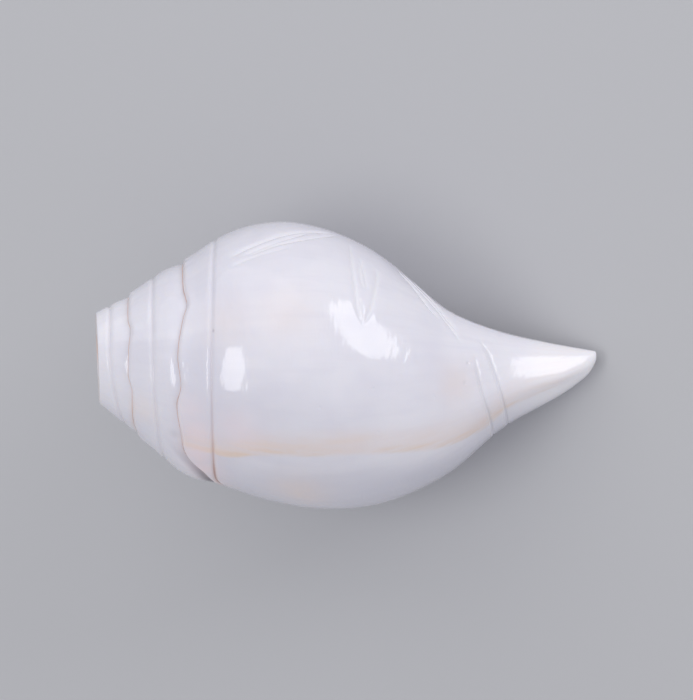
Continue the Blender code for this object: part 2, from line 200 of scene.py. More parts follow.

# Patches of colour, and painted shade in two small dents and beside the last suture: (along, degrees, size,
# strength); the painted shade lies only above the last suture.
SPOTS = {
    "warm": [(57, 18, 9, 0.35), (108, -17.9, 7, 0.4), (40, 17, 8, 0.3), (61.5, -65, 9, 0.65),
             (15, -39.5, 4.5, 0.45)],
    "blush": [(29, -28, 5, 0.3), (31, -40, 5.5, 0.5), (31, -54, 6, 0.6), (33, -66, 6, 0.6),
              (35, -78, 6, 0.6), (43, -34, 7, 0.35)],
    # painted shade in two small dents beside the suture
    "painted_recess_shade": [(24, -46, 1.8, 0.14), (24.8, -26, 1.2, 0.12)],
    "pit": [(111.6, -4.6, 0.5, 0.16), (110.7, -17.8, 0.5, 0.13), (35.6, 12.6, 0.4, 0.8)],
}

# What the camera frames, and the lamps: shape, way from the shell, width and height in degrees, roll.
VIEW_CENTRE = (75.45, 2.1, 0)
VIEW_WIDTH = 207.9
SENSOR = 36
LAMP_REACH = 1.2
LAMPS = {
    "main_lamp": ("ELLIPSE", (0.6, 0.572, 0.56), 28.5, 41, -31),
    "side_lamp": ("ELLIPSE", (-0.648, -0.125, 0.751), 14.5, 34, -3),
    "top_lamp": ("RECTANGLE", (-0.5, 0.75, 0.43), 62, 50, 0),
}


def curve_through(points):
    """A smooth curve through (position, value) points: a natural cubic spline."""
    x, y = np.array(points, float).T
    gap, rise = np.diff(x), np.diff(y) / np.diff(x)
    system = np.eye(len(x))
    bend = np.zeros(len(x))
    for i in range(1, len(x) - 1):
        system[i, i - 1:i + 2] = gap[i - 1], 2 * (gap[i - 1] + gap[i]), gap[i]
        bend[i] = 6 * (rise[i] - rise[i - 1])
    curl = np.linalg.solve(system, bend)

    def value(at):
        i = np.clip(np.searchsorted(x, at) - 1, 0, len(x) - 2)
        s = np.clip(at, x[0] - 5, x[-1] + 5) - x[i]
        slope = rise[i] - gap[i] * (2 * curl[i] + curl[i + 1]) / 6
        return y[i] + s * (slope + s * (curl[i] / 2 + s * (curl[i + 1] - curl[i]) / (6 * gap[i])))

    return value


def steady_curve(points):
    """A curve through (position, value) points that never overshoots them."""
    x, y = np.array(points, float).T
    gap, rise = np.diff(x), np.diff(y) / np.diff(x)
    slope = np.concatenate([rise[:1], rise[:-1] + rise[1:], rise[-1:]])
    slope[1:-1] /= 2
    limit = 3 * np.minimum(np.abs(rise[:-1]), np.abs(rise[1:]))
    slope[1:-1] = np.where(rise[:-1] * rise[1:] > 0, np.clip(slope[1:-1], -limit, limit), 0)

    def value(at):
        at = np.clip(at, x[0], x[-1])
        i = np.clip(np.searchsorted(x, at) - 1, 0, len(x) - 2)
        s = (at - x[i]) / gap[i]
        left = y[i] + s * s * (3 - 2 * s) * (y[i + 1] - y[i])
        return left + gap[i] * s * (1 - s) * ((1 - s) * slope[i] - s * slope[i + 1])

    return value


def ramp(low, high, at):
    """0 below low, 1 above high, and smooth between."""
    s = np.clip((at - low) / (high - low), 0, 1)
    return s * s * (3 - 2 * s)


def bump(centre, width, at):
    """1 at centre, fading on both sides."""
    return np.exp(-((at - centre) / width)**2)


def beside(reach, away):
    """1 at no distance, falling to 0 at reach."""
    return np.clip(1 - away / reach, 0, 1)**2


left_outline = curve_through(SIDE_LEFT)
right_outline = curve_through(SIDE_RIGHT)
inner_lip_outline = curve_through(INNER_LIP)
suture = steady_curve(SUTURE)
groove = steady_curve(GROOVE)
seam_stain = steady_curve(SEAM_STAIN)
groove_stain = steady_curve(GROOVE_STAIN)
seam_painted_shade = steady_curve(SEAM_PAINTED_SHADE)
rest_edge = steady_curve(REST_EDGE)
rest_strength = steady_curve(REST_STRENGTH)


def angle_at(turn):
    """Degrees round the axis at a count of turns."""
    return LIP_ANGLE - 360 * turn


def place(along, distance, angle):
    """Points in the shell's own frame, in metres; 0 degrees is its back and 90 faces +Y."""
    way = np.radians(angle)
    return np.stack([along, distance * np.sin(way), distance * np.cos(way)], -1) * MM


def polar(points):
    """Along, distance and angle of points in the shell's own frame."""
    along, side, back = (points / MM).T
    return along, np.hypot(side, back), np.degrees(np.arctan2(side, back))


def swell(along, angle):
    """How far the back stands out beyond round, fading out before both sides."""
    angle = (angle + 180) % 360 - 180
    height, middle, reach, facing, spread = NECK_SWELL
    neck = height * bump(middle, reach, along) * bump(facing, spread, angle)
    height, start, full, last, facing, spread = CANAL_SWELL
    canal = height * bump(facing, spread, angle) * ramp(start, full, along) * ramp(LENGTH, last, along)
    height, middle, reach = SHOULDER_WAIST
    waist = height * bump(middle, reach, along)
    return (neck + canal - waist) * ramp(*SWELL_SIDES, np.abs(angle))


def round_section(along, angle):
    """A circle off the axis whose ends touch both side outlines, with its back swelled."""
    shift = (left_outline(along) - right_outline(along)) / 2
    radius = (left_outline(along) + right_outline(along)) / 2
    way = np.radians(angle)
    circle = shift * np.sin(way) + np.sqrt(np.maximum(radius**2 - (shift * np.cos(way))**2, 0.01))
    return circle + swell(along, angle)


def wall_before_lip(along):
    """Distance from the axis to the whorl that the lip closes on, one turn before the lip."""
    joined = ramp(LIP_CORNER, LIP_CORNER + 8, along)
    return round_section(along, LIP_ANGLE) * (1 - joined) + inner_lip_outline(along) * joined


def smooth_outside(along, turn):
    """Distance from the axis to the smooth outside, with no sutures or grooves."""
    turn = turn - np.floor(turn) - 1 + (turn == 0)
    plain = round_section(along, angle_at(turn))
    past_side = np.clip((UNDER_LIP_FROM - turn) / (1 + UNDER_LIP_FROM), 0, 1)**1.6
    under = left_outline(along) + (wall_before_lip(along) - left_outline(along)) * past_side
    to_lip = np.clip(1 - turn / NEAR_LIP_FROM, 0, 1)
    lip = right_outline(along) * (1 - LIP_DRAWN_IN * to_lip**1.5 * ramp(LENGTH, LENGTH - 20, along))
    near_lip = plain + (lip - plain) * ramp(LIP_CORNER, LIP_CORNER + 16, along)
    return np.where(turn < UNDER_LIP_FROM, under, np.where(turn > NEAR_LIP_FROM, near_lip, plain))


def hand_polish(points, size, seed):
    """Gentle unevenness, -1 to 1, with hollows about size millimetres apart."""
    draw = np.random.default_rng(seed)
    total = 0
    for _ in range(7):
        way = draw.normal(size=3)
        way = way / np.linalg.norm(way) * draw.uniform(0.7, 1.4)
        total = total + np.sin(points / MM @ way * math.tau / size + draw.uniform(0, math.tau))
    return total / 4


def from_saw(points):
    """Millimetres below the sawn face."""
    return -(points / MM - np.array([CUT_HEIGHT, 0, 0])) @ np.array(SAW_NORMAL)


def rounded_off(depth, radius):
    """How far an edge of that radius has fallen away at a depth behind its face."""
    past = np.clip(radius - depth, 0, radius)
    return radius - np.sqrt(np.maximum(radius**2 - past**2, 0))


def skin(along, turn):
    """Distance from the axis to the outside, before it is sawn and carved."""
    sizes = bpy.context.scene.chank_sizes
    base = smooth_outside(along, turn)
    below = np.maximum(along - suture(turn), 0)
    above = np.maximum(np.where(turn < -1, suture(turn + 1), 1e3) - along, 0)
    settled, settled_next = ramp(0, 0.05, -turn), ramp(0, 0.05, -1 - turn)
    in_spire = ramp(-1, 3, along)
    edge = sizes.edge_rise / MM * beside(EDGE_REACH, below)
    crack = (sizes.crevice + sizes.edge_rise) / MM * bump(0, CRACK_WIDTH, below)
    dip = sizes.crevice / MM * beside(DIP_REACH, above) + ROLL * beside(ROLL_REACH, above)
    dip = dip * (1 - SHALLOW_DIP[0] * bump(*SHALLOW_DIP[1:], turn))
    width = sizes.groove_width / MM / 2
    cut = sizes.groove_depth / MM * bump(groove(turn), width, along) * ramp(*GROOVE_END, -turn)
    distance = base + ((edge - crack) * settled - dip * settled_next) * in_spire - cut

    points = place(along, distance, angle_at(turn))
    polish = sum(height * hand_polish(points, size, seed) for height, size, seed in POLISH)
    height, size, seed = CHIPS
    chips = height * hand_polish(points, size, seed) * bump(0, 1.6, np.minimum(below, above + 0.8))
    distance = distance + (polish + chips * in_spire) * ramp(LENGTH, LENGTH - 12, along)

    corner = np.minimum(sizes.lip_rounding / MM, 0.45 * np.maximum(base - wall_before_lip(along), 0))
    corner = corner * ramp(LIP_CORNER, LIP_CORNER + 4, along)
    at_lip = rounded_off(np.clip(-turn * math.tau * distance, 0, None), np.maximum(corner, 1e-6))
    distance = distance - np.where(turn >= -0.5, at_lip, 0)
    return np.maximum(distance - rounded_off(LENGTH - along, TIP_ROUNDING), 0.3)


# Steps in millimetres that the mesh takes away from a suture, a shoulder groove and the tip.
SEAM_STEPS = np.array([0, 0.15, 0.32, 0.55, 0.85, 1.3, 2])
CUT_STEPS = np.array([0, 0.2, 0.42, 0.68, 1, 1.5])
TIP_STEPS = np.array([0, 0.05, 0.15, 0.32, 0.55, 0.9, 1.5])
LIP_STEPS = np.array([0, 0.08, 0.22, 0.42, 0.68, 1, 1.4, 2])
AROUND = 236
DOWN_THE_BODY = 92
BODY_RADIUS = 42

# Depths below the sawn face where the mesh is cut, and by what share each ring on the face shrinks.
SAWN_EDGE_STEPS = (0.35, 0.2, 0.09, 0.03)
SAWN_RINGS = (0.95, 0.96, 0.95, 0.93, 0.92, 0.9, 0.87, 0.83)


def rows_between(start, end, near_start, near_end, count):
    """Lines of the mesh from one winding line to the next, close together beside both."""
    squeeze = np.minimum(1, (end - start) / (near_start[-1] + near_end[-1] + 1))[:, None]
    first = start[:, None] + near_start * squeeze
    last = end[:, None] - near_end[::-1] * squeeze
    share = np.arange(1, count + 1) / (count + 1)
    middle = first[:, -1:] + (last[:, :1] - first[:, -1:]) * share
    return np.concatenate([first, middle, last], 1)


def whorl_rows(turn):
    """Lines of the mesh across one whorl, from its suture over its shoulder groove to the next suture."""
    end = suture(turn + 1)
    end = end - (end - LIP_CORNER - 7) * ramp(-0.12, 0, turn)**2
    shoulder = rows_between(suture(turn), groove(turn), SEAM_STEPS, CUT_STEPS, 4)
    band = rows_between(groove(turn), end, CUT_STEPS, SEAM_STEPS, 7)
    return np.concatenate([shoulder, band[:, 1:]], 1), end


def flat_grid(columns, rows):
    """A grid of points, with the column and the row that each point is in."""
    bpy.ops.mesh.primitive_grid_add(x_subdivisions=columns - 1, y_subdivisions=rows - 1, size=1)
    grid = bpy.context.object
    flat = read_points(grid)[:, :2] + 0.5
    column, row = np.rint(flat * (columns - 1, rows - 1)).astype(int).T
    return grid, column, row


def wound_sheet(turns, rows):
    """A grid laid on the shell: one column of points at each turn, one row at each line."""
    sheet, column, row = flat_grid(*rows.shape)
    along, turn = rows[column, row], turns[column]
    write_points(sheet, place(along, skin(along, turn), angle_at(turn)))
    return sheet


def read_points(thing):
    """A mesh's points as an array."""
    points = np.empty(len(thing.data.vertices) * 3)
    thing.data.vertices.foreach_get("co", points)
    return points.reshape(-1, 3)


def write_points(thing, points):
    """Moves a mesh's points."""
    thing.data.vertices.foreach_set("co", points.ravel())
    thing.data.update()


def pick(*things):
    """Selects only these objects and makes the first one active."""
    bpy.ops.object.select_all(action="DESELECT")
    for thing in things:
        thing.select_set(True)
    bpy.context.view_layer.objects.active = things[0]


def edit(thing, choose="SELECT", mode="VERT"):
    """Opens a mesh for editing, with all or none of it selected."""
    pick(thing)
    bpy.ops.object.mode_set(mode="EDIT")
    bpy.ops.mesh.select_mode(type=mode)
    bpy.ops.mesh.select_all(action=choose)


def close_edit(outwards=False):
    """Ends the editing, after pointing the faces outwards if asked to."""
    if outwards:
        bpy.ops.mesh.select_all(action="SELECT")
        bpy.ops.mesh.normals_make_consistent(inside=False)
    bpy.ops.object.mode_set(mode="OBJECT")


def edit_chosen(thing, kind, chosen):
    """Opens a mesh with only the chosen vertices or polygons selected."""
    edit(thing, "DESELECT", "VERT" if kind == "vertices" else "FACE")
    close_edit()
    getattr(thing.data, kind).foreach_set("select", chosen)
    bpy.ops.object.mode_set(mode="EDIT")


def seal(thing):
    """Welds a mesh's doubles, closes its holes and points its faces outwards."""
    edit(thing)
    bpy.ops.mesh.remove_doubles(threshold=1e-6)
    bpy.ops.mesh.select_all(action="DESELECT")
    bpy.ops.mesh.select_non_manifold()
    bpy.ops.mesh.fill_holes(sides=0)
    close_edit(outwards=True)


def filled_shell():
    """The outside as one closed body, sawn off at the top."""
    body_turns = np.arange(-AROUND, 0) / AROUND
    at_lip = -LIP_STEPS[::-1] / (math.tau * BODY_RADIUS)
    body_turns = np.concatenate([body_turns[body_turns < at_lip[0] - 0.002], at_lip])
    earlier = np.concatenate([body_turns[:-1] - back for back in (3, 2, 1)] + [[-1]])
    spire_turns = earlier[earlier >= -1 - SPIRE_TURNS]

    spire = wound_sheet(spire_turns, whorl_rows(spire_turns)[0])
    over, end = whorl_rows(body_turns)
    down = rows_between(end, np.full(len(end), LENGTH), SEAM_STEPS[:4], TIP_STEPS, DOWN_THE_BODY)
    body = wound_sheet(body_turns, np.concatenate([over, down[:, 1:]], 1))
    pick(body, spire)
    bpy.ops.object.join()
    seal(body)
    edit(body)
    for depth in (*SAWN_EDGE_STEPS, 0):
        bpy.ops.mesh.select_all(action="SELECT")
        bpy.ops.mesh.bisect(plane_co=SAW_CENTRE - SAW_NORMAL * depth * MM, plane_no=SAW_NORMAL,
                            threshold=1e-7, clear_outer=depth == 0)
    bpy.ops.mesh.select_all(action="DESELECT")
    bpy.ops.mesh.select_non_manifold()
    for share in SAWN_RINGS:
        bpy.ops.mesh.extrude_region_move()
        bpy.ops.transform.resize(value=(share, share, share), center_override=SAW_CENTRE)
    bpy.ops.mesh.fill()
    close_edit(outwards=True)
    return body


# Lines of the hollow's mesh, measured along the shell as at the lip.
HOLLOW_TIP = np.linspace(151.5, HOLLOW_END, 4)
HOLLOW_FRONT = np.concatenate([np.linspace(HOLLOW_START, 62, 9), np.linspace(64, 150, 40), HOLLOW_TIP])
HOLLOW_BACK = np.concatenate([np.linspace(HOLLOW_START, 70, 12), np.linspace(70.8, 95, 32),
                              np.linspace(97, 150, 27), HOLLOW_TIP])
HOLLOW_MOUTH = [-0.04, -0.031, -0.024, -0.018, -0.0135, -0.01, -0.0072, -0.005, -0.0034, -0.0022,
                -0.0012, -0.0005, 0.0005, 0.002, 0.005, 0.01, 0.017, 0.026, 0.037, 0.05, 0.065, 0.08,
                0.095, 0.11, 0.125, 0.14, 0.155, 0.17, 0.185, 0.2]


def hollow_wall(along):
    """Thickness of shell outside the hollow."""
    sizes = bpy.context.scene.chank_sizes
    return (sizes.lip_wall + (sizes.canal_wall - sizes.lip_wall) * ramp(85, 140, along)) / MM


def hollow_section(turn, front, at):
    """Along and distance of the hollow's wall at a turn; at is measured as at the lip.

    front is True on the side of the outer wall and False on the side of the axis.
    """
    sizes = bpy.context.scene.chank_sizes
    scale = HOLLOW_SHRINK**-np.minimum(turn, 0)
    last_fold = COLUMELLA_FOLDS[-1] + 3
    kept = 1 - CANAL_CLOSED * ramp(-0.08, -0.5, turn)
    at = np.where(at > last_fold, last_fold + (at - last_fold) * kept, at)
    end = last_fold + (HOLLOW_END - last_fold) * kept
    along = HOLLOW_APEX + (at - HOLLOW_APEX) * scale
    solid, solid_at = np.minimum(along, LENGTH), np.minimum(at, LENGTH)

    folds = sum(bump(fold, FOLD_WIDTH, at) for fold in COLUMELLA_FOLDS) * sizes.fold_height / MM
    folds = folds * ramp(-0.75, -0.3, turn) * ramp(0.12, 0, turn)
    callus = CALLUS - ramp(HOLLOW_START + 8, HOLLOW_START, at)
    back = (wall_before_lip(solid_at) - callus + folds) * scale
    ahead = smooth_outside(solid, np.maximum(turn, 1e-6) - 1) - callus + folds + 3 * ramp(0, 0.14, turn)
    back = np.where(turn > 0, ahead, back)
    back = back + (1 - back) * ramp(-1.85, -2.35, turn)

    lip_side = (right_outline(solid_at) - hollow_wall(at)) * scale
    outer_limit = smooth_outside(solid, np.clip(turn, -1, -1e-6)) - hollow_wall(along)
    outer = np.where(turn < -1, lip_side, np.minimum(lip_side, outer_limit))
    before_lip = np.clip(-turn * math.tau * outer, 0, None)
    outer = outer + rounded_off(before_lip, INNER_LIP_ROUNDING) * (turn > -0.1)
    outer = np.where(turn > 0, right_outline(solid) + 8, outer)
    outer = np.maximum(outer, back + LEAST_OPENING)

    close = np.minimum(np.clip((at - HOLLOW_START) / 7, 0, 1), np.clip((end - at) / (8 * kept), 0, 1))
    close = np.sqrt(1 - (1 - close)**2) * 0.9 + 0.1 * (close > 0)
    close = np.where(turn > 0, 1, close)
    middle = (back + outer) / 2
    return along, middle + (np.where(front, outer, back) - middle) * np.maximum(close, 0.02)


def hollow_cutter():
    """The space inside the whorls, from the blow hole out through the mouth."""
    around = np.concatenate([HOLLOW_FRONT, HOLLOW_BACK[::-1], HOLLOW_FRONT[:1]])
    front = np.arange(len(around)) < len(HOLLOW_FRONT)
    front[-1] = True
    turns = np.concatenate([np.arange(-HOLLOW_TURNS, -1, 1 / 60), np.arange(-1, -0.045, 1 / 110),
                            HOLLOW_MOUTH])
    hollow, column, row = flat_grid(len(turns), len(around))
    turn = turns[column]
    along, distance = hollow_section(turn, front[row], around[row])
    write_points(hollow, place(along, distance, angle_at(turn)))
    seal(hollow)
    return hollow


def bore_cutter():
    """The drilled blow hole."""
    bpy.ops.mesh.primitive_cylinder_add(vertices=BLOW_HOLE_SIDES, radius=BLOW_HOLE_RADIUS * MM,
                                        depth=2 * BLOW_HOLE_DEPTH * MM, end_fill_type="NGON",
                                        rotation=(0, math.pi / 2, 0))
    return bpy.context.object


def easing_cutter():
    """A shallow cone that eases the rim of the blow hole."""
    bpy.ops.mesh.primitive_cone_add(vertices=BLOW_HOLE_SIDES, radius1=(BLOW_HOLE_RADIUS - RIM_EASING) * MM,
                                    radius2=(BLOW_HOLE_RADIUS + 3 * RIM_EASING) * MM,
                                    depth=4 * RIM_EASING * MM, end_fill_type="NGON")
    cone = bpy.context.object
    turn_to_saw = SAW_NORMAL.to_track_quat("Z", "Y").to_matrix().to_4x4()
    cone.matrix_world = Matrix.Translation(SAW_CENTRE) @ turn_to_saw
    bpy.ops.object.transform_apply(location=True, rotation=True, scale=True)
    return cone


def cut_away(thing, cutter):
    """Takes cutter out of thing and deletes it. The exact solver empties this body, though it is closed."""
    pick(thing)
    difference = thing.modifiers.new("cut", "BOOLEAN")
    difference.operation = "DIFFERENCE"
    difference.solver = "MANIFOLD"
    difference.object = cutter
    bpy.ops.object.modifier_apply(modifier=difference.name)
    bpy.data.objects.remove(cutter, do_unlink=True)


def whorl_turn(along, angle):
    """Which turn a point of the outside belongs to."""
    turn = (LIP_ANGLE - angle) / 360
    turn = turn - np.ceil(turn)
    for _ in range(4):
        turn = np.where((along < suture(turn) - 0.01) & (turn > -0.9 - SPIRE_TURNS), turn - 1, turn)
    return turn


def outside_points(points):
    """Along, turn, distance, and whether each point lies on the outside of the shell."""
    along, distance, angle = polar(points)
    turn = whorl_turn(along, angle)
    on_skin = np.abs(distance - skin(along, turn)) < ON_SKIN
    return along, turn, distance, on_skin


def stroke_paths():
    """The strokes as smooth paths of points on the surface."""
    for half_width, depth, points in STROKES:
        at = np.array(points, float)
        step = np.concatenate([[0], np.cumsum(np.hypot(np.diff(at[:, 0]), np.diff(at[:, 1]) * DEGREE))])
        even = np.linspace(0, step[-1], STROKE_POINTS)
        along = curve_through(np.stack([step, at[:, 0]], 1))(even)
        angle = curve_through(np.stack([step, at[:, 1]], 1))(even)
        yield half_width, depth, place(along, round_section(along, angle), angle)


def off_place(points, along, angle):
    """Millimetres from each point to a place on the smooth outside."""
    return np.linalg.norm(points - place(along, round_section(along, angle), angle), axis=1) / MM


def off_path(points, path):
    """Millimetres from each point to a path, and how far along it that is, 0 to 1."""
    nearest = np.full(len(points), np.inf)
    share = np.zeros(len(points))
    for i in range(len(path) - 1):
        run = path[i + 1] - path[i]
        reach = np.clip((points - path[i]) @ run / (run @ run), 0, 1)
        away = np.linalg.norm(points - path[i] - reach[:, None] * run, axis=1)
        closer = away < nearest
        nearest = np.where(closer, away, nearest)
        share = np.where(closer, (i + reach) / (len(path) - 1), share)
    return nearest / MM, share


def carving(points):
    """How deep each point is carved, and how far off the nearest stroke or pit is, in millimetres."""
    depth, near = np.zeros(len(points)), np.full(len(points), 1e3)
    for half_width, deep, path in stroke_paths():
        low, high = path.min(0) - 3 * MM, path.max(0) + 3 * MM
        here = np.flatnonzero(((points > low) & (points < high)).all(1))
        away, share = off_path(points[here], path)
        fade = ramp(0, 0.16, share) * ramp(1, 0.84, share)
        deep = deep * bpy.context.scene.chank_sizes.carving
        depth[here] = np.maximum(depth[here], deep * fade * np.exp(-np.abs(away / half_width)**1.7))
        near[here] = np.minimum(near[here], away)
    for along, angle, size in PITS:
        away = off_place(points, along, angle)
        depth = np.maximum(depth, PIT_DEPTH * size * bump(0, size, away))
        near = np.minimum(near, away)
    return depth, near


def refine_near_strokes(shell):
    """Makes the mesh finer where the back is carved."""
    points = read_points(shell)
    on_skin = outside_points(points)[3]
    near = np.full(len(points), 1e3)
    near[on_skin] = carving(points[on_skin])[1]
    chosen = near < NEAR_STROKE
    edit_chosen(shell, "polygons", [all(chosen[i] for i in face.vertices) for face in shell.data.polygons])
    bpy.ops.mesh.subdivide(number_cuts=3)
    close_edit()


def carve(shell):
    """Moves the outside onto the finished surface, with the strokes cut into it."""
    points = read_points(shell)
    along, turn, distance, on_skin = outside_points(points)
    deep = np.zeros(len(points))
    deep[on_skin] = carving(points[on_skin])[0]
    eased = rounded_off(from_saw(points), SAWN_EDGE)
    finished = np.where(on_skin, skin(along, turn) - deep - eased, distance)
    write_points(shell, place(along, finished, polar(points)[2]))
    return along, turn, on_skin, deep


def mark(shell, name, values):
    """Gives every point a number that the materials can read."""
    attribute = shell.data.attributes.new(name, "FLOAT", "POINT")
    attribute.data.foreach_set("value", values)


def mark_shell(shell, along, turn, on_skin, deep):
    """Marks where the stains, bands and cuts lie, in millimetres from their lines."""
    points = read_points(shell)
    distance, angle = polar(points)[1:]
    below = np.abs(along - suture(turn))
    above = np.where(turn < -1, np.abs(suture(turn + 1) - along), 99)
    nearer = np.where(above < below, turn + 1, turn)
    mark(shell, "seam", np.minimum(np.minimum(below, above), FAR))
    mark(shell, "seam_stain", seam_stain(nearer))
    mark(shell, "groove", np.minimum(np.abs(along - groove(turn)), FAR))
    mark(shell, "groove_stain", groove_stain(turn))
    past = (turn - rest_edge(along)) * math.tau * distance
    mark(shell, "rest", np.where(turn < -1, -30, np.clip(past, -30, 30)))
    mark(shell, "band", rest_strength(along) * ramp(-1.02, -0.95, turn))
    mark(shell, "carved", np.clip(deep / FULL_CUT, 0, 1))
    for name, spots in SPOTS.items():
        total = np.zeros(len(points))
        for spot_along, spot_angle, size, strength in spots:
            away = off_place(points, spot_along, spot_angle)
            total = np.maximum(total, strength * bump(0, size, away))
        # painted shade: the dents and the crevice shadow beside the last suture, only on the whorl before
        # it
        if name == "painted_recess_shade":
            total = np.maximum(total, seam_painted_shade(turn + 1) * ramp(5.5, 0.5, above))
        mark(shell, name, total * (on_skin & ((turn < -1) | (name != "painted_recess_shade"))))
    since_lip = (LIP_ANGLE - angle) / 360
    mark(shell, "rim", np.clip(smooth_outside(along, turn) - distance, 0, FAR))
    mark(shell, "inward", 1 - np.abs(2 * (since_lip - np.ceil(since_lip)) + 1))
    mark(shell, "along", along)


def lay_out(shell, turn):
    """Unrolls the shell: turns across, share of its length up."""
    along, _, angle = polar(read_points(shell))
    layout = shell.data.uv_layers.new(name="growth")
    corners = np.empty(len(shell.data.loops), int)
    shell.data.loops.foreach_get("vertex_index", corners)
    starts = np.array([face.loop_start for face in shell.data.polygons])
    sizes = np.array([face.loop_total for face in shell.data.polygons])
    around = (LIP_ANGLE - angle[corners]) / 360
    first = np.repeat(turn[corners][starts], sizes)
    around = around + np.rint(first - around)
    layout.data.foreach_set("uv", np.stack([around, along[corners] / LENGTH], 1).ravel())


def share_out(shell, on_skin):
    """Gives the sawn face and the inside their own materials."""
    shell.data.materials.clear()
    for material in (polished_material(), glaze_material(), sawn_material()):
        shell.data.materials.append(material)
    for face in shell.data.polygons:
        if face.normal.dot(SAW_NORMAL) > 0.999 and from_saw(np.array([face.center]))[0] < 0.05:
            face.material_index = 2
        elif sum(on_skin[corner] for corner in face.vertices) * 2 <= len(face.vertices):
            face.material_index = 1


class Wire:
    """An output in a node tree. Arithmetic on it adds the nodes that do the sum."""

    def __init__(self, tree, socket=None):
        self.tree, self.socket = tree, socket

    def node(self, kind, inputs, output=0, **settings):
        """Adds a node, sets it up, fills its inputs and returns its output."""
        made = self.tree.nodes.new("ShaderNode" + kind)
        for name, value in settings.items():
            setattr(made, name, value)
        for name, value in inputs.items():
            if isinstance(value, Wire):
                self.tree.links.new(value.socket, made.inputs[name])
            else:
                made.inputs[name].default_value = value
        return Wire(self.tree, made.outputs[output])

    def sum(self, operation, first, second):
        return self.node("Math", {0: first, 1: second}, operation=operation)

    def __add__(self, other):
        return self.sum("ADD", self, other)

    def __sub__(self, other):
        return self.sum("SUBTRACT", self, other)

    def __rsub__(self, other):
        return self.sum("SUBTRACT", other, self)

    def __mul__(self, other):
        return self.sum("MULTIPLY", self, other)

    __radd__ = __add__
    __rmul__ = __mul__

    def fade(self, low, high):
        """0 at low, 1 at high, smooth between; low may be the larger."""
        return self.node("MapRange", {"Value": self, "From Min": low, "From Max": high},
                         output="Result", interpolation_type="SMOOTHSTEP")

    def mark(self, name):
        """One of the mesh's own marks."""
        return self.node("Attribute", {}, output="Fac", attribute_name=name)

    def noise(self, vector, scale, detail, roughness=0.5):
        """Noise, about 0.3 to 0.7."""
        return self.node("TexNoise", {"Vector": vector, "Scale": scale, "Detail": detail,
                                      "Roughness": roughness}, output="Fac")

    def cloud(self, scale, detail=3, roughness=0.5):
        """Noise in the thing's own space."""
        where = self.node("TexCoord", {}, output="Object")
        return self.noise(where, scale, detail, roughness)

    def grain(self, across, up, detail, roughness=0.5):
        """Noise on the unrolled shell, drawn out along its growth lines."""
        where = self.node("UVMap", {}, uv_map="growth")
        where = self.node("VectorMath", {0: where, 1: (across, up, 1)}, operation="MULTIPLY")
        return self.noise(where, 1, detail, roughness)

    def washed(self, colour, *washes):
        """A colour with others laid over it in turn, each given as (share, colour)."""
        for share, over in washes:
            under, over = (tint if isinstance(tint, Wire) else (*tint, 1) for tint in (colour, over))
            colour = self.node("Mix", {0: share, 6: under, 7: over}, output=2, data_type="RGBA")
        return colour


def new_material(name):
    """A material with a Principled BSDF, and a wire to build its nodes with."""
    material = bpy.data.materials.new(name)
    material.use_nodes = True
    return material, Wire(material.node_tree), material.node_tree.nodes["Principled BSDF"]


def finish_material(wire, shader, colour, roughness, height, step):
    """Links colour, roughness and a bump of step millimetres into the shader."""
    bump_wire = wire.node("Bump", {"Height": height, "Strength": 1, "Distance": step * MM})
    for name, value in (("Base Color", colour), ("Roughness", roughness), ("Normal", bump_wire)):
        wire.tree.links.new(value.socket, shader.inputs[name])


def let_light_in(shader, ior, radius):
    """Makes a shader gloss like shell, with light spreading under its surface."""
    for name, value in (("IOR", ior), ("Subsurface Weight", 0.25), ("Subsurface Radius", radius),
                        ("Subsurface Scale", 2 * MM)):
        shader.inputs[name].default_value = value


